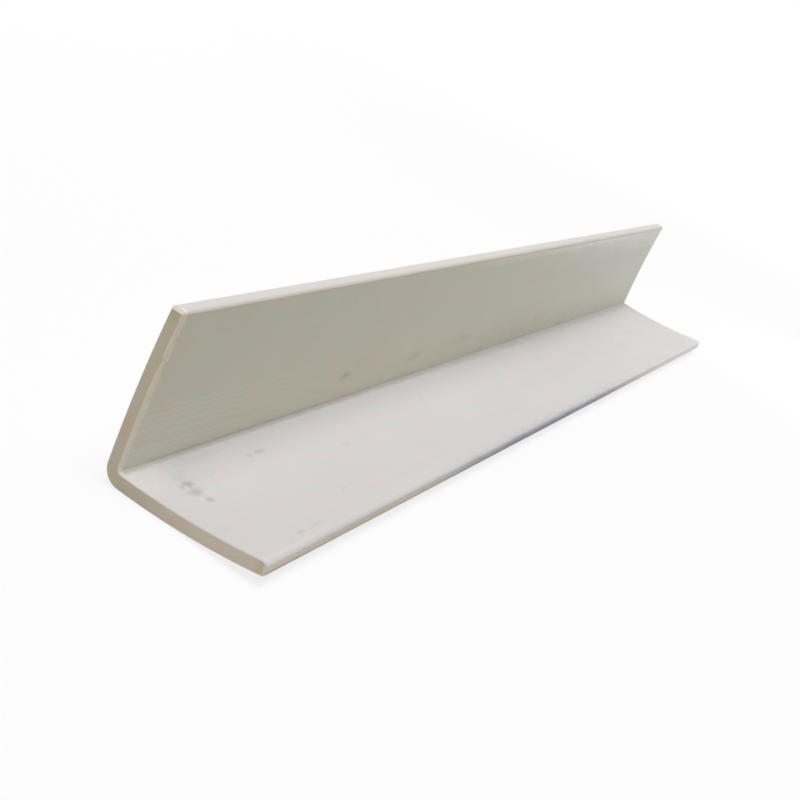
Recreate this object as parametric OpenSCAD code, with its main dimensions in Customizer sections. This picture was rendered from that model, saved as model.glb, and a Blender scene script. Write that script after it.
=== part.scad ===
// Corner angle of extruded PVC: two legs of one wall thickness that meet in a right angle, cut to a
// length. Both legs are slightly bowed outwards and close in a little at their tips, as such an
// extrusion does when it cools. It lies on the bowed underside of its lower leg.
// Millimetres. The length runs along Y, the lower leg points to +X and the upright leg to +Z.
// The origin is on the floor, under the middle of the part.

/* [Section] */
// Width of the lower leg, from the back of the upright leg to the tip
lower_w = 50; // [30:1:100]
// Width of the upright leg, from the underside of the lower leg to the tip
upright_w = 50; // [30:1:100]
// Wall thickness of both legs
wall = 4; // [2:0.1:6]
// Angle between the two legs, measured from corner to tip, in degrees
leg_angle = 88; // [80:0.5:95]
// How far the middle of the lower leg bows outwards from a straight line
lower_bow = 1.2; // [0.2:0.1:2]
// How far the middle of the upright leg bows outwards from a straight line
upright_bow = 0.6; // [0.2:0.1:2]
// Radius of the rounded corner on the outside of the angle
outer_corner_r = 5.5; // [1:0.1:8]
// Radius of the fillet on the inside of the angle
inner_corner_r = 0.5; // [0.2:0.1:2]
// Radius that breaks the two edges of each leg's tip
tip_edge_r = 0.5; // [0.2:0.1:0.9]

/* [Length] */
// Length that the angle is cut to
length = 500; // [100:10:3000]

/* [Near end] */
// How deep the inner edge of the upright leg is pared back at the near end
paring_depth = 0.5; // [0.1:0.1:1.5]
// How far that paring runs in along the length
paring_length = 1.8; // [0.2:0.1:6]

/* [Hidden] */
pvc_white = [0.85, 0.83, 0.81];
// Facets of a leg's wide arc, and of a small round edge
wide_fn = 1440;
round_fn = 96;
// How far a cutting shape reaches past the surface that it cuts
clear = 0.6;
// How far a round edge's circle reaches past the faces that it joins, so that it always meets them
blend = 0.004;

// A point at the distance r from the origin, in the direction a in degrees
function polar(r, a) = r * [cos(a), sin(a)];
// Radius of an arc, from its chord and the height of its middle above the chord
function bow_radius(chord, height) = chord * chord / (8 * height) + height / 2;
// The point at the radius r around c, on the way from c through p
function out_to(c, p, r) = c + r * (p - c) / norm(p - c);
// Where two circles meet, on the left of the way from centre c1 to centre c2
function circles_meet(c1, r1, c2, r2) =
    let (gap = norm(c2 - c1))
    let (along = (gap * gap + r1 * r1 - r2 * r2) / (2 * gap))
    let (aside = sqrt(r1 * r1 - along * along))
    let (way = (c2 - c1) / gap)
    c1 + along * way + aside * [-way[1], way[0]];
// Where the circles around both bows' centres meet, at radii larger by grow than the inner faces
function corner_at(grow) = circles_meet(upright_c, upright_r + grow, lower_c, lower_r + grow);

// The section is worked out from its inner corner, at [0, 0].
// Each leg's inner face is an arc from that corner to the tip.
lower_chord = lower_w - wall;
upright_chord = upright_w - wall;
lower_r = bow_radius(lower_chord, lower_bow);
upright_r = bow_radius(upright_chord, upright_bow);
lower_half = asin(lower_chord / 2 / lower_r);
upright_half = asin(upright_chord / 2 / upright_r);

// Left to itself, the bowed leg touches the floor right under the centre of mass.
section_area = wall * (lower_w + upright_chord);
mass_x = wall * (lower_w * lower_w / 2 + upright_chord * wall / 2) / section_area - wall;
rest_lean = asin(mass_x / lower_r);
upright_dir = lower_half - rest_lean + leg_angle;

// Centres of the two bows, both on the inner side of the angle, and the tips as seen from them
lower_c = polar(lower_r, 90 - rest_lean);
upright_c = polar(upright_chord / 2, upright_dir)
    + polar(upright_r * cos(upright_half), upright_dir - 90);
lower_tip_dir = 2 * lower_half - rest_lean - 90;
upright_tip_dir = upright_dir + 90 - upright_half;

// The floor touches the underside. The part's middle lies between its back and its lower tip.
floor_z = lower_c[1] - lower_r - wall;
back_x = upright_c[0] - upright_r - wall;
tip_x = tip_edge_c(lower_c, lower_r + wall, -1, lower_tip_dir, 1)[0]
    + tip_edge_r + blend;
middle_x = (back_x + tip_x) / 2;

// Centre of a tip's round edge, for the face with radius face_r around the bow's centre c.
// into is -1 on a leg's outer face and 1 on its inner face. The tip looks towards the side
// of its direction tip_dir: 1 is anticlockwise.
function tip_edge_c(c, face_r, into, tip_dir, side) =
    let (centre_r = face_r + into * tip_edge_r)
    c + polar(centre_r, tip_dir - side * asin(tip_edge_r / centre_r));

// The part of a corner that a round edge takes away or fills in. p is the centre of the edge,
// a and b are the points where it runs into its two faces, and the corner lies within tip.
module spandrel(p, r, a, b, tip) {
    difference() {
        polygon([p, a, tip, b]);
        translate(p) circle(r = r + blend, $fn = round_fn);
    }
}

module tip_edge(c, face_r, into, tip_dir, side) {
    p = tip_edge_c(c, face_r, into, tip_dir, side);
    on_face = out_to(c, p, face_r);
    on_tip = c + polar(sqrt(norm(p - c) ^ 2 - tip_edge_r ^ 2), tip_dir);
    beyond = c + polar(face_r - into * clear, tip_dir) + polar(clear, tip_dir + side * 90);
    spandrel(p, tip_edge_r, on_face, on_tip, beyond);
}

// What lies within both bows, at radii larger by grow than those of the inner faces
module within_bows(grow) {
    intersection() {
        translate(lower_c) circle(r = lower_r + grow, $fn = wide_fn);
        translate(upright_c) circle(r = upright_r + grow, $fn = wide_fn);
    }
}

// Everything between the lines on which the two tips are cut
module between_tips() {
    spread = lower_w + upright_w;
    polygon([
        [-spread, -spread],
        lower_c + polar(lower_r + spread, lower_tip_dir),
        lower_c + polar(lower_r - clear, lower_tip_dir),
        upright_c + polar(upright_r - clear, upright_tip_dir),
        upright_c + polar(upright_r + spread, upright_tip_dir)
    ]);
}

module outer_corner() {
    p = corner_at(wall - outer_corner_r);
    on_lower = out_to(lower_c, p, lower_r + wall);
    on_upright = out_to(upright_c, p, upright_r + wall);
    spandrel(p, outer_corner_r, on_lower, on_upright, corner_at(wall + clear));
}

module inner_corner() {
    p = corner_at(-inner_corner_r);
    on_lower = out_to(lower_c, p, lower_r);
    on_upright = out_to(upright_c, p, upright_r);
    spandrel(p, inner_corner_r, on_lower, on_upright, corner_at(clear));
}

module section() {
    difference() {
        intersection() {
            within_bows(wall);
            between_tips();
        }
        difference() {
            within_bows(0);
            inner_corner();
        }
        outer_corner();
        tip_edge(lower_c, lower_r + wall, -1, lower_tip_dir, 1);
        tip_edge(lower_c, lower_r, 1, lower_tip_dir, 1);
        tip_edge(upright_c, upright_r + wall, -1, upright_tip_dir, -1);
        tip_edge(upright_c, upright_r, 1, upright_tip_dir, -1);
    }
}

// The sawn end's inner edge, pared off the upright leg by a knife. The cut is a cylinder like the
// one that makes the leg's inner face, tilted into the wall towards the end. It stops at the
// lower leg's inner face, and tapers out past the fillet in the corner.
module paring() {
    tilt = atan(paring_depth / paring_length);
    lead = inner_corner_r / tan(tilt);
    tilted_x = upright_c[0] + upright_r / cos(tilt) - upright_r;
    intersection() {
        translate([tilted_x, upright_c[1], length / 2 - paring_length])
            rotate([0, -tilt, 0])
                cylinder(h = 2 * upright_r, r = upright_r, center = true, $fn = wide_fn);
        translate([lower_c[0], lower_c[1], length / 2 - paring_length - lead])
            cylinder(h = paring_length + lead + clear, r = lower_r, $fn = wide_fn);
    }
}

module corner_angle() {
    color(pvc_white)
        translate([-middle_x, 0, -floor_z])
            rotate([90, 0, 0])
                difference() {
                    linear_extrude(height = length, center = true) section();
                    paring();
                }
}

corner_angle();
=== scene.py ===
import math

import bpy
from mathutils import Matrix, Vector


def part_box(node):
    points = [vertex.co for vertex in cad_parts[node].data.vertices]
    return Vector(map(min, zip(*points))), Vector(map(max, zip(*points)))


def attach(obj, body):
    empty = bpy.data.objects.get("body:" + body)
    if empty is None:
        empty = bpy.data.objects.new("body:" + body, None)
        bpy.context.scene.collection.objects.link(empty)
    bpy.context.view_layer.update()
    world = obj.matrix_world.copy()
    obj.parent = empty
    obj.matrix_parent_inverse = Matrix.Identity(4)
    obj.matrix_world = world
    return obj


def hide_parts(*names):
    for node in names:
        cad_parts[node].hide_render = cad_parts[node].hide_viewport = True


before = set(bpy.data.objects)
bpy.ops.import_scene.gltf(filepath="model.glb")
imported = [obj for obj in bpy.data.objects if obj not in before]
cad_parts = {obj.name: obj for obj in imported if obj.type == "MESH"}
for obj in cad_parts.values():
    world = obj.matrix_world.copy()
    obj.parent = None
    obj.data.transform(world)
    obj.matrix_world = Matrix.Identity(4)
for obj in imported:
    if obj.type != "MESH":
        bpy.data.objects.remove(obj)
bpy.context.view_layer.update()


# Camera
# It stands in front of the near end, to the right and above, and is rolled to the left,
# as in the photograph. Its place, aim and focal length were fitted to the angle's edges.
camera_place = Vector((0.13245, -0.58015, 0.17409))
camera_aim = Vector((-0.26491, 0.91188, -0.31352)).normalized()
camera_up = Vector((-0.51244, 0.14229, 0.84685)).normalized()
focal_length_pixels = 1568.0
frame_width_pixels = 800
sensor_width_mm = 36

bpy.ops.object.camera_add(location=camera_place)
camera = bpy.context.object
camera.name = "camera"
camera_right = camera_aim.cross(camera_up).normalized()
camera_true_up = camera_right.cross(camera_aim)
camera.rotation_euler = Matrix((camera_right, camera_true_up, -camera_aim)).transposed().to_euler()
camera.data.sensor_width = sensor_width_mm
camera.data.lens = focal_length_pixels / frame_width_pixels * sensor_width_mm
camera.data.clip_start = 0.01
camera.data.clip_end = 20
bpy.context.scene.camera = camera


# Corner angle
# One strip of rigid white PVC with two slightly bowed legs on a rounded corner, extruded in
# one piece. Both ends are sawn square, and a knife pared the upright's inner edge at the near
# end and took off that end's two tips.
length = 0.5
near_y = -length / 2
leg_width = 0.05
wall = 0.004
leg_angle = math.radians(88)
lower_bow = 0.0012
upright_bow = 0.0006
outer_corner_r = 0.0055
inner_corner_r = 0.0005
tip_edge_r = 0.0005
lower_soft_edge_r = 0.0018
upright_soft_edge_r = 0.0009
edge_break = 0.00025


def polar(radius, direction):
    """A point of the section, x to the right and z up, by its distance and direction."""
    return Vector((radius * math.cos(direction), radius * math.sin(direction)))


def bow_radius(chord, bow):
    return chord * chord / (8 * bow) + bow / 2


def angle_of(vector):
    return math.atan2(vector.y, vector.x)


def circles_meet(centre_a, radius_a, centre_b, radius_b, near):
    """Of the two points where two circles cross, the one nearer to a given point."""
    apart = (centre_b - centre_a).length
    along = (radius_a ** 2 - radius_b ** 2 + apart ** 2) / (2 * apart)
    aside = math.sqrt(radius_a ** 2 - along ** 2)
    line = (centre_b - centre_a).normalized()
    across = Vector((-line.y, line.x))
    foot = centre_a + line * along
    return min((foot + across * aside, foot - across * aside), key=lambda p: (p - near).length)


# The section's arcs have the same centres as the solid's, with the inner corner at (0, 0) first.
leg_chord = leg_width - wall
lower_r = bow_radius(leg_chord, lower_bow)
upright_r = bow_radius(leg_chord, upright_bow)
lower_half = math.asin(leg_chord / 2 / lower_r)
upright_half = math.asin(leg_chord / 2 / upright_r)
section_area = wall * (leg_width + leg_chord)
mass_x = wall * (leg_width ** 2 / 2 + leg_chord * wall / 2) / section_area - wall
rest_lean = math.asin(mass_x / lower_r)
upright_dir = lower_half - rest_lean + leg_angle
quarter = math.pi / 2
lower_c = polar(lower_r, quarter - rest_lean)
upright_c = polar(leg_chord / 2, upright_dir)
upright_c = upright_c + polar(upright_r * math.cos(upright_half), upright_dir - quarter)
lower_tip_dir = 2 * lower_half - rest_lean - quarter
upright_tip_dir = upright_dir + quarter - upright_half
cad_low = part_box("corner_angle")[0]
inner_corner = Vector((cad_low.x - (upright_c.x - upright_r - wall), -(lower_c.y - lower_r - wall)))
lower_c = lower_c + inner_corner
upright_c = upright_c + inner_corner


def tip_edge_c(leg_c, edge_c_r, edge_r, tip_dir, root_side):
    """Centre of the small rounding where a tip's end face meets a leg's face."""
    return leg_c + polar(edge_c_r, tip_dir + root_side * math.asin(edge_r / edge_c_r))


# The edges that face the inside of the angle are worn softer than the ones outside.
outer_edge_c_r = wall - tip_edge_r
lower_outer_edge_c = tip_edge_c(lower_c, lower_r + outer_edge_c_r, tip_edge_r, lower_tip_dir, -1)
lower_inner_edge_c = tip_edge_c(
    lower_c, lower_r + lower_soft_edge_r, lower_soft_edge_r, lower_tip_dir, -1)
upright_inner_edge_c = tip_edge_c(
    upright_c, upright_r + upright_soft_edge_r, upright_soft_edge_r, upright_tip_dir, 1)
upright_outer_edge_c = tip_edge_c(
    upright_c, upright_r + outer_edge_c_r, tip_edge_r, upright_tip_dir, 1)
inner_fillet_c = circles_meet(
    lower_c, lower_r - inner_corner_r, upright_c, upright_r - inner_corner_r, inner_corner)
outer_round_c = circles_meet(
    lower_c, lower_r + wall - outer_corner_r, upright_c, upright_r + wall - outer_corner_r, inner_corner)


def start_line(point):
    """A plane is added and merged to its middle, which leaves the one point to draw from."""
    bpy.ops.object.select_all(action="DESELECT")
    bpy.ops.mesh.primitive_plane_add(size=tip_edge_r, location=(point.x, near_y + edge_break, point.y))
    bpy.ops.object.transform_apply(location=True, rotation=True, scale=True)
    bpy.ops.object.mode_set(mode="EDIT")
    bpy.ops.mesh.select_all(action="SELECT")
    bpy.ops.mesh.merge(type="CENTER")
    return bpy.context.object


def draw_arc(centre, from_angle, to_angle, step):
    """The line's last point is spun round a centre. A rising angle turns from x towards z."""
    turn = to_angle - from_angle
    radius = draw_arc.end - centre
    steps = max(3, math.ceil(abs(turn) * radius.length / step))
    bpy.ops.mesh.spin(
        steps=steps, angle=turn, center=(centre.x, near_y + edge_break, centre.y), axis=(0, 1, 0))
    draw_arc.end = centre + Matrix.Rotation(turn, 2) @ radius


def draw_straight(to_point):
    """The line's last point is extruded straight to a point."""
    move = to_point - draw_arc.end
    bpy.ops.mesh.extrude_region_move(TRANSFORM_OT_translate={"value": (move.x, 0, move.y)})
    draw_arc.end = to_point


def turned_past(direction, after):
    """The same direction, as an angle that isn't below another."""
    while direction < after:
        direction += 4 * quarter
    return direction


# The outline goes round with the wall on its left: lower outer face, lower tip, lower inner
# face, inner corner, upright inner face, upright tip, upright outer face, outer corner.
corner_to_lower = angle_of(outer_round_c - lower_c)
corner_to_upright = turned_past(angle_of(outer_round_c - upright_c), 0)
lower_outer_tip = angle_of(lower_outer_edge_c - lower_c)
lower_inner_tip = angle_of(lower_inner_edge_c - lower_c)
upright_inner_tip = turned_past(angle_of(upright_inner_edge_c - upright_c), 0)
upright_outer_tip = turned_past(angle_of(upright_outer_edge_c - upright_c), 0)
fillet_to_lower = angle_of(inner_fillet_c - lower_c)
fillet_to_upright = turned_past(angle_of(inner_fillet_c - upright_c), 0)


def upright_angle(height):
    """The angle at the upright's bow centre of its inner face, at a height above the inner corner."""
    return 2 * quarter - math.asin((height + inner_corner.y - upright_c.y) / upright_r)


# The points lie closest about the nick and round the small edges, further apart over the rest of
# the upright's inner face and round the outer corner, and furthest apart on the plain faces.
nick_top = 0.0328
fine_below_nick = 0.0036
fine_above_nick = 0.0012
below_nick = upright_angle(nick_top - fine_below_nick)
above_nick = upright_angle(nick_top + fine_above_nick)
nick_step = 0.0001
edge_step = tip_edge_r / 5
face_step = 0.00025
outer_round_step = 3 * edge_step
plain_step = 0.0006
merge_distance = nick_step / 10

draw_arc.end = lower_c + polar(lower_r + wall, corner_to_lower)
angle = start_line(draw_arc.end)
draw_arc(lower_c, corner_to_lower, lower_outer_tip, plain_step)
draw_arc(lower_outer_edge_c, lower_outer_tip, lower_tip_dir + quarter, edge_step)
draw_straight(lower_inner_edge_c + polar(lower_soft_edge_r, lower_tip_dir + quarter))
draw_arc(lower_inner_edge_c, lower_tip_dir + quarter, lower_inner_tip + 2 * quarter, edge_step)
draw_arc(lower_c, lower_inner_tip, fillet_to_lower, plain_step)
draw_arc(inner_fillet_c, fillet_to_lower + 4 * quarter, fillet_to_upright, edge_step)
draw_arc(upright_c, fillet_to_upright, below_nick, face_step)
draw_arc(upright_c, below_nick, above_nick, nick_step)
draw_arc(upright_c, above_nick, upright_inner_tip, face_step)
draw_arc(upright_inner_edge_c, upright_inner_tip - 2 * quarter, upright_tip_dir - quarter, edge_step)
draw_straight(upright_outer_edge_c + polar(tip_edge_r, upright_tip_dir - quarter))
draw_arc(upright_outer_edge_c, upright_tip_dir - quarter, upright_outer_tip, edge_step)
draw_arc(upright_c, upright_outer_tip, corner_to_upright, plain_step)
draw_arc(outer_round_c, corner_to_upright, corner_to_lower + 4 * quarter, outer_round_step)
bpy.ops.mesh.select_all(action="SELECT")
bpy.ops.mesh.remove_doubles(threshold=merge_distance)
bpy.ops.mesh.edge_face_add()

# The section is extruded from the near end in rows that are close together where the knife
# worked, far apart along the middle and closer again at the far end.
knife_row = 0.00015
knife_rows = 32
widening_rows = [0.0004, 0.0008, 0.0015, 0.003, 0.005]
near_rows = [knife_row] * knife_rows + widening_rows
far_rows = widening_rows[::-1]
plain_rows = 48
plain_length = length - 2 * edge_break - sum(near_rows) - sum(far_rows)
for row_step in near_rows + [plain_length / plain_rows] * plain_rows + far_rows:
    bpy.ops.mesh.extrude_region_move(TRANSFORM_OT_translate={"value": (0, row_step, 0)})
bpy.ops.mesh.select_all(action="SELECT")
bpy.ops.mesh.normals_make_consistent(inside=False)
bpy.ops.mesh.select_all(action="DESELECT")
bpy.ops.object.mode_set(mode="OBJECT")
end_face_share = 0.99
for face in angle.data.polygons:
    face.select = abs(face.normal.y) > end_face_share
bpy.ops.object.mode_set(mode="EDIT")
bpy.ops.mesh.inset(thickness=edge_break, depth=edge_break, use_individual=True)
bpy.ops.object.mode_set(mode="OBJECT")
angle.name = "corner_angle_detail"

# The relief is weighed point by point and pushed in along x, which is nearly square to the
# upright's inner face: the knife's paring, and the nick where its two strokes met. Each stroke
# is given as (height, reach) along its run, and its ripples as (size, wave, shift). The band's
# colour fades only over the last fifth of its reach.
paring_depth = 0.0005
lower_stroke = (
    (0, 0.0013), (0.006, 0.0017), (0.012, 0.0021), (0.020, 0.0027), (0.028, 0.0023), (0.032, 0.0008))
upper_stroke = ((0.032, 0.0030), (0.034, 0.0027), (0.036, 0.0019), (0.040, 0.0023), (0.046, 0.0021))
knife_start = 0.0015
nick_slant = 0.69
nick_run = 0.0032
nick_depth = 0.00013
nick_half_width = 0.00030
nick_ledge = 0.0045
inner_skin = 0.0013
stroke_ripples = ((0.10, 0.0013, 0.0), (0.07, 0.00052, 1.3))
colour_gain = 5


def smooth(value):
    value = min(1.0, max(0.0, value))
    return value * value * (3 - 2 * value)


def stroke_reach(stroke, height):
    """How far along the length a stroke of the knife reaches at a height."""
    reach = stroke[0][1]
    for (low, low_reach), (high, high_reach) in zip(stroke, stroke[1:]):
        share = min(1.0, max(0.0, (height - low) / (high - low)))
        if height > low:
            reach = low_reach + (high_reach - low_reach) * share
    ripple = sum(size * math.sin(height / wave + shift) for size, wave, shift in stroke_ripples)
    return reach * (1 + ripple)


def above_the_nick(height, along):
    return height - nick_top + nick_slant * along


def paring(height, along):
    """How far inside the knife's band a point lies, 1 at the sawn end, and how deep the band is
    there. The lower stroke starts shallow, which leaves a small ledge under the nick."""
    above = above_the_nick(height, along)
    stroke = upper_stroke if above > 0 else lower_stroke
    inside = max(0.0, 1 - along / stroke_reach(stroke, height)) * smooth(height / knife_start)
    return inside, inside * (1 if above > 0 else smooth(-above / nick_ledge))


def nick_weight(height, along):
    aside = above_the_nick(height, along) / math.hypot(1, nick_slant)
    return smooth(1 - abs(aside) / nick_half_width) * smooth((nick_run - along) / (nick_run / 2))


amounts = {"knife_band": {}, "nick": {}}
for name in amounts:
    angle.vertex_groups.new(name=name + " weight")
for point in angle.data.vertices:
    height = point.co.z - inner_corner.y
    face_x = upright_c.x - math.sqrt(upright_r ** 2 - (point.co.z - upright_c.y) ** 2)
    if height < 0 or abs(point.co.x - face_x) > inner_skin:
        continue
    along = point.co.y - near_y
    inside, deep = paring(height, along)
    nicked = nick_weight(height, along)
    banded = min(1, colour_gain * inside)
    for name, weight, shown in (("knife_band", deep, banded), ("nick", nicked, nicked)):
        if shown > 0:
            angle.vertex_groups[name + " weight"].add([point.index], weight, "REPLACE")
            amounts[name][point.index] = shown


def push_along_x(name, distance):
    bpy.ops.object.modifier_add(type="DISPLACE")
    push = angle.modifiers[-1]
    push.direction = "X"
    push.mid_level = 0
    push.strength = distance
    push.vertex_group = name + " weight"
    bpy.ops.object.modifier_apply(modifier=push.name)


push_along_x("knife_band", -paring_depth)
push_along_x("nick", -nick_depth)
angle.vertex_groups.clear()
for name, amount in amounts.items():
    mask = angle.data.attributes.new(name=name, type="FLOAT", domain="POINT")
    for index, value in amount.items():
        mask.data[index].value = value

# The knife also took the near end's tips off at a slant: the upright's top and the lower
# leg's outer edge. Each cut is a flat face across the wall's whole thickness.
upright_tip_cut = (0.0008, 0.0009)
lower_tip_cut = (0.0008, 0.0007)
cut_tolerance = nick_step / 100
same_facing = 0.9999
smooth_below = math.radians(30)


def faces_like(facing):
    return [face for face in angle.data.polygons if face.normal.dot(facing) > same_facing]


def cut_tip(edge_c, outward_dir, along, down):
    """Cuts a tip at a slant, from a line down its end face to a line along its length."""
    outward = polar(1, outward_dir)
    tip = edge_c + outward * tip_edge_r
    facing = Vector((outward.x * along, -down, outward.y * along)).normalized()
    bpy.ops.object.mode_set(mode="EDIT")
    bpy.ops.mesh.select_all(action="SELECT")
    bpy.ops.mesh.bisect(
        plane_co=(tip.x, near_y + along, tip.y), plane_no=facing, use_fill=True, clear_outer=True,
        threshold=cut_tolerance)
    bpy.ops.object.mode_set(mode="OBJECT")
    cut = max(faces_like(facing), key=lambda face: face.area)
    for index in cut.vertices:
        angle.data.attributes["knife_band"].data[index].value = 1
    return facing


cut_facings = (
    cut_tip(upright_outer_edge_c, upright_tip_dir - quarter, *upright_tip_cut),
    cut_tip(lower_outer_edge_c, lower_tip_dir + quarter, *lower_tip_cut),
)
bpy.ops.object.shade_smooth_by_angle(angle=smooth_below)
for facing in cut_facings:
    for face in faces_like(facing):
        face.use_smooth = False
        for loop_index in face.loop_indices:
            angle.data.edges[angle.data.loops[loop_index].edge_index].use_edge_sharp = True


# The materials are put together from these few steps.
def new_paint(name):
    material = bpy.data.materials.new(name)
    material.use_nodes = True
    return material, material.node_tree


def is_socket(value):
    return isinstance(value, bpy.types.NodeSocket)


def add(tree, kind, inputs=None, **settings):
    """Adds a node with its settings, and links or sets its inputs by name or number."""
    node = tree.nodes.new(kind)
    for setting, value in settings.items():
        setattr(node, setting, value)
    for key, value in (inputs or {}).items():
        socket = node.inputs[key]
        if is_socket(value):
            tree.links.new(value, socket)
        elif socket.type == "RGBA":
            socket.default_value = (*value, 1)
        else:
            socket.default_value = value
    return node


def maths(tree, operation, *terms):
    return add(tree, "ShaderNodeMath", dict(enumerate(terms)), operation=operation).outputs[0]


def vector_maths(tree, operation, *terms):
    return add(tree, "ShaderNodeVectorMath", dict(enumerate(terms)), operation=operation).outputs[0]


def length_of(tree, vector):
    return add(tree, "ShaderNodeVectorMath", {0: vector}, operation="LENGTH").outputs["Value"]


def span(tree, value, start, end, low=0.0, high=1.0):
    """A smooth way from low to high while a value goes from start to end."""
    inputs = {"Value": value, "From Min": start, "From Max": end, "To Min": low, "To Max": high}
    return add(tree, "ShaderNodeMapRange", inputs, interpolation_type="SMOOTHSTEP").outputs["Result"]


def tinted(tree, colour, share, tint, how="MULTIPLY"):
    """A colour multiplied by a tint, or mixed with it, over a share from 0 to 1."""
    inputs = {"Factor": share, "A": colour, "B": tint}
    return add(tree, "ShaderNodeMix", inputs, data_type="RGBA", blend_type=how).outputs["Result"]


def masked(tree, *masks):
    """Several masks multiplied into one."""
    product = masks[0]
    for mask in masks[1:]:
        product = maths(tree, "MULTIPLY", product, mask)
    return product


noise_middle = 0.5


def noise(tree, place, size, detail=2.0):
    """Noise with blotches of about one size across."""
    inputs = {"Vector": place, "Scale": 1 / size, "Detail": detail}
    return add(tree, "ShaderNodeTexNoise", inputs).outputs["Fac"]


def raised(tree, height, distance):
    inputs = {"Height": height, "Distance": distance, "Strength": 1.0}
    return add(tree, "ShaderNodeBump", inputs).outputs["Normal"]


def socket_kind(value):
    """Three numbers are a place, four are a colour, and a single one is an amount."""
    if not isinstance(value, tuple):
        return "NodeSocketFloat"
    return "NodeSocketColor" if len(value) == 4 else "NodeSocketVector"


def start_group(name, output, result=0.0, **inputs):
    """A node group with named inputs, each with its starting value, and one named output."""
    group = bpy.data.node_groups.new(name, "ShaderNodeTree")
    for label, value in inputs.items():
        kind = socket_kind(value)
        group.interface.new_socket(label, in_out="INPUT", socket_type=kind).default_value = value
    group.interface.new_socket(output, in_out="OUTPUT", socket_type=socket_kind(result))
    return group, group.nodes.new("NodeGroupInput").outputs


def end_group(group, result):
    group.links.new(result, group.nodes.new("NodeGroupOutput").inputs[0])


def placed(tree, group, **inputs):
    return add(tree, "ShaderNodeGroup", inputs, node_tree=group).outputs[0]


ragged_size = 0.0016


def ragged(tree, distance, place, raggedness):
    """A distance made uneven by noise, so that a mark's outline isn't drawn with a compass."""
    wobble = maths(tree, "SUBTRACT", noise(tree, place, ragged_size), noise_middle)
    return maths(tree, "ADD", distance, maths(tree, "MULTIPLY", wobble, raggedness))


# Soft blotches of two shades in a colour, one warmer and one greener.
no_tint = (1, 1, 1, 1)
warm_shade = 0.60
green_shade = 0.40
mottle, given = start_group(
    "mottle", "Mottled", no_tint, Position=(0, 0, 0), Size=0.005, Colour=no_tint, Warm=no_tint,
    Green=no_tint)
in_sizes = vector_maths(mottle, "DIVIDE", given["Position"], given["Size"])
shade = noise(mottle, in_sizes, size=1, detail=1)
warmed = tinted(mottle, given["Colour"], span(mottle, shade, noise_middle, warm_shade), given["Warm"])
green = span(mottle, shade, noise_middle, green_shade)
end_group(mottle, tinted(mottle, warmed, green, given["Green"]))

# A round mark, used for stains and for a painted highlight: strongest at its middle and gone a little
# past its reach.
mark_end = 1.15
mark_full = 0.15
stain_and_highlight, given = start_group(
    "stain_and_highlight", "Mask", Position=(0, 0, 0), Middle=(0, 0, 0), Reach=(0.002, 0.002, 0.002), Raggedness=1.2)
away = vector_maths(stain_and_highlight, "SUBTRACT", given["Position"], given["Middle"])
away = length_of(stain_and_highlight, vector_maths(stain_and_highlight, "DIVIDE", away, given["Reach"]))
away = ragged(stain_and_highlight, away, given["Position"], given["Raggedness"])
end_group(stain_and_highlight, span(stain_and_highlight, away, mark_end, mark_full))

# A mark along a line that runs the whole length, such as the inner corner, used for dirt, rubbing,
# painted light and painted shade.
drawn_out_by = (1, 0.25, 1)
along_edge, given = start_group(
    "along an edge", "Mask", Position=(0, 0, 0), Edge=(0, 0, 0), Reach=0.001, Raggedness=0.6)
away = vector_maths(along_edge, "SUBTRACT", given["Position"], given["Edge"])
away = length_of(along_edge, vector_maths(along_edge, "MULTIPLY", away, (1, 0, 1)))
away = maths(along_edge, "DIVIDE", away, given["Reach"])
drawn_out = vector_maths(along_edge, "MULTIPLY", given["Position"], drawn_out_by)
away = ragged(along_edge, away, drawn_out, given["Raggedness"])
end_group(along_edge, span(along_edge, away, mark_end, 0.0))


def turned_and_stretched(tree, given):
    """A place turned, and then measured in spacings across and in runs along y."""
    inputs = {"Vector": given["Position"], "Rotation": given["Turn"]}
    turned = add(tree, "ShaderNodeVectorRotate", inputs, rotation_type="EULER_XYZ").outputs[0]
    inputs = {"X": given["Spacing"], "Y": given["Run"], "Z": given["Spacing"]}
    stretch = add(tree, "ShaderNodeCombineXYZ", inputs).outputs[0]
    return vector_maths(tree, "DIVIDE", turned, stretch)


# Streaks that run along y once turned: die streaks, saw lines and the knife's strokes.
streaks, given = start_group(
    "streaks", "Level", Position=(0, 0, 0), Turn=(0, 0, 0), Spacing=0.001, Run=0.1)
end_group(streaks, noise(streaks, turned_and_stretched(streaks, given), size=1, detail=3))

# Short fine scratches from handling, thin where two shades of a drawn-out noise meet and broken
# up by a second noise.
second_noise_offset = (7, 3, 5)
second_noise_size = 0.8
scratch_shown = (0.56, 0.66)
scratches, given = start_group(
    "scratches", "Mask", Position=(0, 0, 0), Turn=(0, 0, 0), Spacing=0.004, Run=0.05, Width=0.03)
drawn_out = turned_and_stretched(scratches, given)
shade = noise(scratches, drawn_out, size=1, detail=0)
away = maths(scratches, "ABSOLUTE", maths(scratches, "SUBTRACT", shade, noise_middle))
thin = maths(scratches, "SUBTRACT", 1.0, maths(scratches, "DIVIDE", away, given["Width"]))
elsewhere = vector_maths(scratches, "ADD", drawn_out, second_noise_offset)
second = noise(scratches, elsewhere, second_noise_size, detail=1)
broken = span(scratches, second, *scratch_shown)
end_group(scratches, masked(scratches, maths(scratches, "MAXIMUM", thin, 0.0), broken))

# Specks of grit or filler, one in each cell of an uneven grid, and each with its own width.
specks, given = start_group("specks", "Mask", Position=(0, 0, 0), Spacing=0.01, Width=0.03)
cells = add(specks, "ShaderNodeTexVoronoi", {
    "Vector": vector_maths(specks, "DIVIDE", given["Position"], given["Spacing"]), "Scale": 1.0})
share = add(specks, "ShaderNodeSeparateColor", {"Color": cells.outputs["Color"]}).outputs["Red"]
width = maths(specks, "MULTIPLY", given["Width"], share)
end_group(specks, maths(specks, "LESS_THAN", cells.outputs["Distance"], width))
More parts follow.
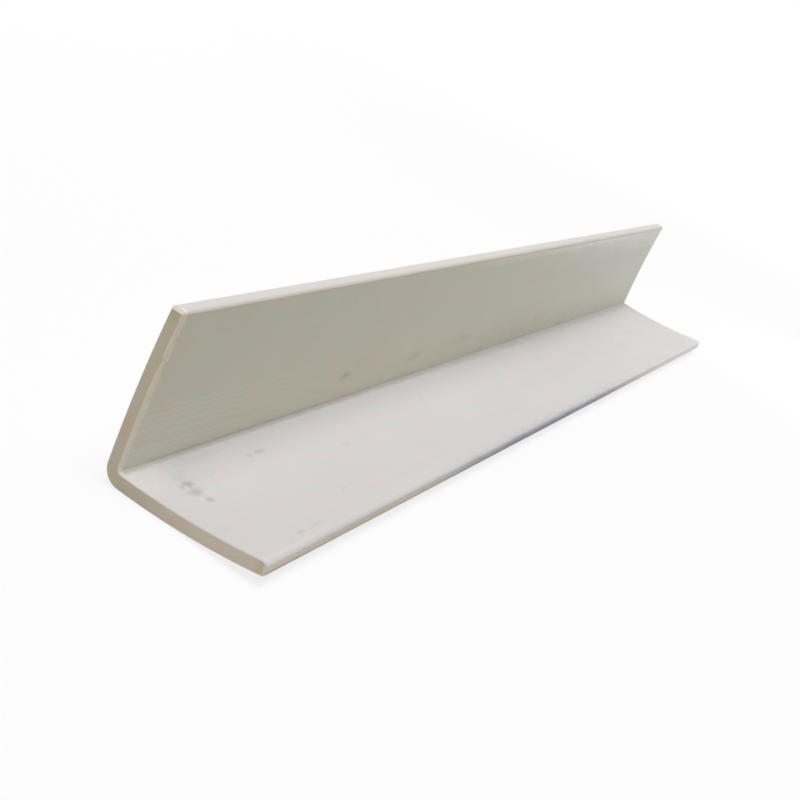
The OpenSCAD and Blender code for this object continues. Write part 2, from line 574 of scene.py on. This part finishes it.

# White PVC skin: a matt off-white with faint blotches, the die's streaks and lines, dirt and painted
# shade in the inner corner, painted light and shade on some faces, small stains, and the fresher,
# creamier plastic where the knife cut.
skin_rgb = (0.690, 0.668, 0.630)
skin_gloss = 0.35
broad_shade_size = 0.05
broad_shade_rgb = (0.975, 0.98, 0.975)
die_streak_rgb = (0.965, 0.965, 0.97)

skin, tree = new_paint("PVC skin")
shader = tree.nodes["Principled BSDF"]
shader.inputs["Specular IOR Level"].default_value = skin_gloss
place = add(tree, "ShaderNodeTexCoord").outputs["Object"]
x, y, z = add(tree, "ShaderNodeSeparateXYZ", {"Vector": place}).outputs
colour = placed(
    tree, mottle, Position=place, Size=0.006, Colour=skin_rgb, Warm=(1.020, 0.985, 0.955),
    Green=(0.980, 1.005, 0.960))
colour = tinted(tree, colour, noise(tree, place, broad_shade_size), broad_shade_rgb)
die_streaks = placed(tree, streaks, Position=place, Spacing=0.0016, Run=0.14)
colour = tinted(tree, colour, die_streaks, die_streak_rgb)

# The die's lines stand a little proud on the lower part of the upright's inner face, and fade
# out along the length. Their lighter colour is a painted highlight on the ridges.
die_line_heights = (0.0040, 0.0055, 0.0086, 0.0110, 0.0133, 0.0152, 0.0171)
die_line_half_width = 0.0007
die_line_slant = 0.014
die_line_run = 0.17
die_line_highlight_rgb = (1.05, 1.05, 1.04)
up = maths(tree, "MULTIPLY_ADD", y, die_line_slant, -die_line_slant * near_y - inner_corner.y)
up = maths(tree, "ADD", up, z)
nearest = length
for line_height in die_line_heights:
    away = maths(tree, "ABSOLUTE", maths(tree, "SUBTRACT", up, line_height))
    nearest = maths(tree, "MINIMUM", nearest, away)
inner_side = maths(tree, "GREATER_THAN", x, upright_c.x - upright_r - wall / 2)
die_lines = masked(
    tree, span(tree, nearest, die_line_half_width, 0.0), inner_side,
    span(tree, y, near_y + die_line_run, near_y))
colour = tinted(tree, colour, die_lines, die_line_highlight_rgb)


def along_line(line, reach, raggedness=0.6):
    """A mark along a line of the skin, as far as a reach from it."""
    return placed(tree, along_edge, Position=place, Edge=line, Reach=reach, Raggedness=raggedness)


# The upright's inner tip edge is creamier and its top duller. Under it the inner face gets a
# paler, bluer painted light towards the far end, strongest close to the edge.
tip_edge = upright_inner_edge_c + polar(upright_soft_edge_r, upright_tip_dir - 1.5 * quarter)
tip_line = (tip_edge.x, 0, tip_edge.y)
tip_glow_rgb = (1.01, 0.975, 0.91)
tip_glow_reach = 0.0018
colour = tinted(tree, colour, along_line(tip_line, tip_glow_reach, raggedness=0.4), tip_glow_rgb)
edge_top_rgb = (0.965, 0.965, 0.965)
edge_top_depths = (0.0010, 0.0004)
edge_top = span(tree, z, *(tip_edge.y - depth for depth in edge_top_depths))
colour = tinted(tree, colour, edge_top, edge_top_rgb)
below_edge = span(tree, z, tip_edge.y - upright_soft_edge_r / 2, tip_edge.y - 2 * upright_soft_edge_r)
painted_light_top_rgb = (1.22, 1.24, 1.28)
painted_light_top_reach = 0.013
painted_light_top_y = (0.0, 0.19)
painted_light_top = masked(tree, along_line(tip_line, painted_light_top_reach), below_edge, span(tree, y, *painted_light_top_y))
colour = tinted(tree, colour, painted_light_top, painted_light_top_rgb)
painted_light_line_rgb = (1.24, 1.26, 1.29)
painted_light_line_reach = 0.0045
painted_light_line_y = (-0.08, 0.03)
painted_light_line_end_y = (0.25, 0.13)
painted_light_line = masked(
    tree, along_line(tip_line, painted_light_line_reach), below_edge, span(tree, y, *painted_light_line_y),
    span(tree, y, *painted_light_line_end_y))
colour = tinted(tree, colour, painted_light_line, painted_light_line_rgb)

# Dirt and painted shade in the inner corner, from just inside the near end. It spreads wider and
# thinner towards the far end, where it lies on the lower leg only.
crease_inset = 0.0003
crease = (inner_corner.x + crease_inset, 0, inner_corner.y)
leg_change_heights = (0.0003, 0.0012)
on_upright = span(tree, z, *(inner_corner.y + height for height in leg_change_heights))
on_lower = maths(tree, "SUBTRACT", 1.0, on_upright)
crease_dirt_and_shade_rgb = (0.75, 0.745, 0.70)
crease_dirt_and_shade_reach = (0.0014, 0.0048)
crease_dirt_and_shade_share = (1.0, 0.7)
crease_dirt_and_shade_y = (-0.14, 0.12)
crease_dirt_and_shade_start = 0.003
upright_dirt_and_shade_y = (-0.17, -0.03)
reach = span(tree, y, *crease_dirt_and_shade_y, *crease_dirt_and_shade_reach)
clear = masked(tree, on_upright, span(tree, y, *upright_dirt_and_shade_y))
crease_dirt_and_shade = masked(
    tree, along_line(crease, reach, raggedness=0.5), span(tree, y, *crease_dirt_and_shade_y, *crease_dirt_and_shade_share),
    maths(tree, "SUBTRACT", 1.0, clear), span(tree, y, near_y, near_y + crease_dirt_and_shade_start))
colour = tinted(tree, colour, crease_dirt_and_shade, crease_dirt_and_shade_rgb)

# A painted highlight on the lower leg where the inner corner comes out at the near end.
painted_highlight_corner_rgb = (1.24, 1.24, 1.22)
painted_highlight_corner_aside = 0.0015
painted_highlight_corner_reach = (0.0120, 0.0220, 0.0040)
painted_highlight_corner = placed(
    tree, stain_and_highlight, Position=place, Reach=painted_highlight_corner_reach, Raggedness=0.4,
    Middle=(inner_corner.x + painted_highlight_corner_aside, near_y, inner_corner.y))
colour = tinted(tree, colour, masked(tree, painted_highlight_corner, on_lower), painted_highlight_corner_rgb)

# Painted shade beside the inner corner: the upright gets a yellow cast of shade, and beyond the
# near end it is darker too. The lower leg gets a little painted shade along its far half. Each
# mark: the leg, how far it spreads over it, where along the length it starts and is full, and its tint.
crease_shades = (
    (on_upright, 0.034, (-0.30, -0.16), (1.0, 0.99, 0.91)),
    (on_upright, 0.016, (-0.13, 0.08), (0.90, 0.895, 0.88)),
    (on_lower, 0.036, (-0.06, 0.08), (0.925, 0.925, 0.92)),
)
for leg, reach, mark_y, tint in crease_shades:
    mark = masked(tree, along_line(crease, reach), leg, span(tree, y, *mark_y))
    colour = tinted(tree, colour, mark, tint)

# The lower leg's tip, along its bottom edge, in painted light and shade: painted light towards
# each end, more of it next to the near end with a thin painted shadow line, then painted shade
# that widens, and blue-grey painted shade about the middle. Each mark: its reach, its
# raggedness, where it lies along the length, and its tint.
rim = lower_outer_edge_c + polar(tip_edge_r, lower_tip_dir + quarter / 2)
rim_line = (rim.x, 0, rim.y)
rim_shade_in_y = (-0.165, -0.05)
rim_shade_out_y = (0.13, 0.03)
far_painted_light_y = (0.10, 0.17)
next_to_near_y = (-0.20, -0.245)
rim_shade_reach = span(tree, y, *rim_shade_in_y, 0.0011, 0.0022)
rim_light_and_shade = (
    (0.0035, 0.2, [rim_shade_in_y[::-1]], (1.13, 1.09, 1.15)),
    (0.0035, 0.2, [far_painted_light_y], (1.28, 1.30, 1.36)),
    (0.0055, 0.3, [next_to_near_y], (1.14, 1.10, 1.12)),
    (0.0013, 0.3, [next_to_near_y], (0.74, 0.74, 0.75)),
    (rim_shade_reach, 0.4, [rim_shade_out_y], (0.68, 0.67, 0.68)),
    (0.0045, 0.6, [rim_shade_in_y, rim_shade_out_y], (0.50, 0.56, 0.75)),
)
for reach, raggedness, stretches, tint in rim_light_and_shade:
    spans = [span(tree, y, *stretch) for stretch in stretches]
    mark = masked(tree, along_line(rim_line, reach, raggedness), *spans)
    colour = tinted(tree, colour, mark, tint)

# The rounded outer corner is rubbed a little darker.
outer_rub_rgb = (0.94, 0.935, 0.92)
outer_rub_aside = 0.003
outer_rub_reach = 0.004
outer_line = (outer_round_c.x - outer_rub_aside, 0, outer_round_c.y - outer_rub_aside)
colour = tinted(tree, colour, along_line(outer_line, outer_rub_reach, raggedness=1.4), outer_rub_rgb)

# Each stain: its middle, its reach and its tint. The first ten are on the upright's inner face
# and the rest on top of the lower leg.
stains = (
    ((-0.0212, -0.1206, 0.0131), (0.002, 0.0052, 0.0021), (0.83, 0.80, 0.72)),
    ((-0.0214, -0.1129, 0.0172), (0.002, 0.0070, 0.0034), (0.98, 0.95, 0.92)),
    ((-0.0212, -0.0609, 0.0126), (0.002, 0.0098, 0.0022), (0.90, 0.91, 0.83)),
    ((-0.0207, -0.0620, 0.0054), (0.002, 0.0110, 0.0020), (0.97, 0.98, 0.95)),
    ((-0.0212, -0.0227, 0.0129), (0.002, 0.0080, 0.0015), (0.98, 0.99, 0.83)),
    ((-0.0212, -0.0112, 0.0140), (0.002, 0.0110, 0.0026), (0.95, 0.91, 0.89)),
    ((-0.0210, 0.0141, 0.0058), (0.002, 0.0050, 0.0016), (0.99, 0.94, 0.90)),
    ((-0.0216, 0.0437, 0.0211), (0.002, 0.0080, 0.0022), (1.02, 0.97, 0.98)),
    ((-0.0211, 0.0841, 0.0116), (0.002, 0.0050, 0.0046), (0.92, 0.91, 0.87)),
    ((-0.0206, 0.1260, 0.0052), (0.002, 0.0070, 0.0022), (0.94, 0.95, 0.92)),
    ((-0.0128, -0.2329, 0.0040), (0.0022, 0.0046, 0.002), (0.91, 0.92, 0.87)),
    ((-0.0096, -0.2324, 0.0040), (0.0016, 0.0034, 0.002), (0.74, 0.73, 0.71)),
    ((-0.0091, -0.2362, 0.0040), (0.0014, 0.0016, 0.002), (0.86, 0.85, 0.82)),
    ((-0.0058, -0.2339, 0.0041), (0.0025, 0.0040, 0.002), (0.78, 0.77, 0.71)),
    ((-0.0018, -0.2332, 0.0042), (0.0015, 0.0022, 0.002), (0.81, 0.80, 0.78)),
    ((-0.0115, -0.1955, 0.0040), (0.0014, 0.0018, 0.002), (0.86, 0.85, 0.84)),
    ((-0.0115, -0.1889, 0.0040), (0.0012, 0.0042, 0.002), (0.80, 0.79, 0.78)),
    ((0.0211, -0.2235, 0.0063), (0.0012, 0.0030, 0.002), (0.87, 0.87, 0.87)),
    ((0.0208, -0.2132, 0.0062), (0.0010, 0.0048, 0.002), (0.92, 0.92, 0.90)),
    ((-0.0020, -0.1484, 0.0042), (0.0012, 0.0038, 0.002), (0.95, 0.96, 0.95)),
)
for middle, reach, tint in stains:
    stain = placed(tree, stain_and_highlight, Position=place, Middle=middle, Reach=reach)
    colour = tinted(tree, colour, stain, tint)

# Fine scratches from handling, some along the length and some across, and a few specks of grit.
handling_rgb = (0.93, 0.93, 0.92)
grit_rgb = (0.62, 0.58, 0.50)
long_scratches = placed(
    tree, scratches, Position=place, Turn=(0.02, 0, 0.03), Spacing=0.006, Run=0.12, Width=0.012)
short_scratches = placed(
    tree, scratches, Position=place, Turn=(0.5, 0, 0.6), Spacing=0.008, Run=0.03, Width=0.012)
handling = maths(tree, "MAXIMUM", long_scratches, short_scratches)
colour = tinted(tree, colour, handling, handling_rgb)
grit = placed(tree, specks, Position=place, Spacing=0.016, Width=0.022)
colour = tinted(tree, colour, grit, grit_rgb)


def worn_amount(name):
    return add(tree, "ShaderNodeAttribute", attribute_name=name).outputs["Fac"]


# The pared band, with the knife's strokes in it, and the nick, whose darker colour is painted shade.
pared_rgb = (0.850, 0.798, 0.685)
knife_stroke_rgb = (0.93, 0.93, 0.92)
nick_shade_rgb = (0.80, 0.81, 0.80)
pared = worn_amount("knife_band")
knife_strokes = placed(tree, streaks, Position=place, Turn=(quarter, 0, 0), Spacing=0.0005, Run=0.012)
pared_colour = tinted(tree, pared_rgb, knife_strokes, knife_stroke_rgb)
colour = tinted(tree, colour, pared, pared_colour, how="MIX")
colour = tinted(tree, colour, worn_amount("nick"), nick_shade_rgb)
tree.links.new(colour, shader.inputs["Base Color"])

# Quite matt, a little shinier in the scratches and duller where the knife cut.
noise_span = (0.3, 0.7)
skin_roughness = (0.48, 0.58)
roughness_size = 0.02
scratch_shine = -0.12
pared_dullness = 0.08
roughness = span(tree, noise(tree, place, roughness_size, detail=3), *noise_span, *skin_roughness)
roughness = maths(tree, "MULTIPLY_ADD", handling, scratch_shine, roughness)
roughness = maths(tree, "MULTIPLY_ADD", pared, pared_dullness, roughness)
tree.links.new(roughness, shader.inputs["Roughness"])

# The bump, each relief with its share of the whole: fine grain, the die's streaks, scratches cut
# in, the die's lines, and the knife's strokes in the pared band.
skin_bump = 0.00003
grain_size = 0.0006
reliefs = (
    (noise(tree, place, grain_size, detail=3), 0.25),
    (die_streaks, 0.8),
    (handling, -0.3),
    (die_lines, 0.6),
    (knife_strokes, pared),
)
height = 0.0
for relief, share in reliefs:
    height = maths(tree, "MULTIPLY_ADD", relief, share, height)
tree.links.new(raised(tree, height, skin_bump), shader.inputs["Normal"])

# Sawn PVC: creamier than the skin and quite matt, with the saw's fine lines slanting across
# the wall and a little dirt that has caught in them.
sawn_rgb = (0.780, 0.715, 0.595)
sawn_gloss = 0.3
saw_line_rgb = (0.90, 0.89, 0.87)
sawn_grit_rgb = (0.66, 0.62, 0.54)

sawn, tree = new_paint("PVC sawn end")
shader = tree.nodes["Principled BSDF"]
shader.inputs["Specular IOR Level"].default_value = sawn_gloss
place = add(tree, "ShaderNodeTexCoord").outputs["Object"]
x, y, z = add(tree, "ShaderNodeSeparateXYZ", {"Vector": place}).outputs
colour = placed(
    tree, mottle, Position=place, Size=0.004, Colour=sawn_rgb, Warm=(1.035, 0.975, 0.930),
    Green=(0.985, 1.015, 0.930))
saw_lines = placed(tree, streaks, Position=place, Turn=(0.2, 0.5, quarter), Spacing=0.0006, Run=0.03)
colour = tinted(tree, colour, saw_lines, saw_line_rgb)
grit = placed(tree, specks, Position=place, Spacing=0.006, Width=0.04)
colour = tinted(tree, colour, grit, sawn_grit_rgb)

# Duller towards the upright, less yellow along the lower leg, and more olive at both tips.
upright_tint_x = (0.005, -0.022)
lower_tint_x = (-0.022, 0.012)
lower_tip_x = (0.0215, 0.0245)
upright_tip_z = (0.0460, 0.0490)
tips = maths(tree, "MAXIMUM", span(tree, x, *lower_tip_x), span(tree, z, *upright_tip_z))
sawn_tints = (
    (span(tree, x, *upright_tint_x), (0.92, 0.92, 0.93)),
    (span(tree, x, *lower_tint_x), (1.05, 1.06, 1.17)),
    (tips, (0.95, 0.91, 0.79)),
)
for mark, tint in sawn_tints:
    colour = tinted(tree, colour, mark, tint)
tree.links.new(colour, shader.inputs["Base Color"])

sawn_roughness = (0.58, 0.70)
sawn_bump = 0.00005
sawn_grain_size = 0.0005
sawn_grain_share = 0.3
tree.links.new(span(tree, saw_lines, *noise_span, *sawn_roughness), shader.inputs["Roughness"])
grain = noise(tree, place, sawn_grain_size)
height = maths(tree, "MULTIPLY_ADD", grain, sawn_grain_share, saw_lines)
tree.links.new(raised(tree, height, sawn_bump), shader.inputs["Normal"])

angle.data.materials.append(skin)
angle.data.materials.append(sawn)
sawn_face_share = 0.9
for face in angle.data.polygons:
    if abs(face.normal.y) > sawn_face_share:
        face.material_index = 1

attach(angle, "root")
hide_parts("corner_angle")


# Floor and light
# A pale floor that the camera sees as white, with the angle's shadow kept near it, in a
# dim, warm room. A wide soft lamp hangs overhead, and three weak, cooler ones stand in front
# of the near end, close by the far end and behind the upright.
floor_size = 12
floor_rgb = (0.60, 0.57, 0.43)
floor_seen_rgb = (0.90, 0.90, 0.90)
white_rgb = (1, 1, 1)
white_share = 0.8
shadow_reach = (0.35, 0.8)


def seen_directly(tree):
    """1 for what the camera sees, also in a reflection or through glass, and 0 for light on things."""
    ray = add(tree, "ShaderNodeLightPath").outputs
    either = maths(tree, "MAXIMUM", ray["Is Camera Ray"], ray["Is Glossy Ray"])
    return maths(tree, "MAXIMUM", either, ray["Is Transmission Ray"])


bpy.ops.object.select_all(action="DESELECT")
bpy.ops.mesh.primitive_plane_add(size=floor_size, location=(0, 0, 0))
floor = bpy.context.object
floor.name = "floor"
pale, tree = new_paint("pale floor")
tree.nodes.remove(tree.nodes["Principled BSDF"])
seen = seen_directly(tree)
from_middle = length_of(tree, add(tree, "ShaderNodeTexCoord").outputs["Object"])
whiter = span(tree, from_middle, *shadow_reach, white_share, 1.0)
matt_colour = tinted(tree, floor_rgb, seen, floor_seen_rgb, how="MIX")
matt = add(tree, "ShaderNodeBsdfDiffuse", {"Color": matt_colour}).outputs[0]
unlit_white = add(tree, "ShaderNodeEmission", {"Color": white_rgb, "Strength": 1.0}).outputs[0]
share = maths(tree, "MULTIPLY", seen, whiter)
surface = add(tree, "ShaderNodeMixShader", {0: share, 1: matt, 2: unlit_white}).outputs[0]
tree.links.new(surface, tree.nodes["Material Output"].inputs["Surface"])
floor.data.materials.append(pale)

room_rgb = (1.0, 0.92, 0.30)
room_strength = 0.225
room = bpy.data.worlds.new("studio room")
bpy.context.scene.world = room
room.use_nodes = True
tree = room.node_tree
dim = tree.nodes["Background"]
dim.inputs["Color"].default_value = (*room_rgb, 1)
dim.inputs["Strength"].default_value = room_strength
bright = add(tree, "ShaderNodeBackground", {"Color": white_rgb, "Strength": 1.0}).outputs[0]
inputs = {0: seen_directly(tree), 1: dim.outputs[0], 2: bright}
surround = add(tree, "ShaderNodeMixShader", inputs).outputs[0]
tree.links.new(surround, tree.nodes["World Output"].inputs["Surface"])


def hang_lamp(name, place, size, power, rgb):
    """A round soft lamp that faces the angle's middle."""
    bpy.ops.object.light_add(type="AREA", location=place)
    lamp = bpy.context.object
    lamp.name = name
    lamp.rotation_euler = Vector(place).to_track_quat("Z", "Y").to_euler()
    lamp.data.shape = "DISK"
    lamp.data.size = size
    lamp.data.energy = power
    lamp.data.color = rgb


# Each lamp: its name, place, width, power and colour.
lamps = (
    ("overhead lamp", (0.0, 0.0, 1.6), 1.2, 22.4, (0.84, 0.84, 1.0)),
    ("near lamp", (0.25, -1.0, 0.6), 0.6, 3.0, (0.55, 0.60, 1.0)),
    ("far lamp", (0.20, 0.42, 0.12), 0.15, 0.30, (0.62, 0.71, 1.0)),
    ("back lamp", (-1.0, 0.35, 0.25), 0.6, 5.5, (0.78, 0.82, 1.0)),
)
for lamp_values in lamps:
    hang_lamp(*lamp_values)

bpy.context.scene.view_settings.view_transform = "Standard"
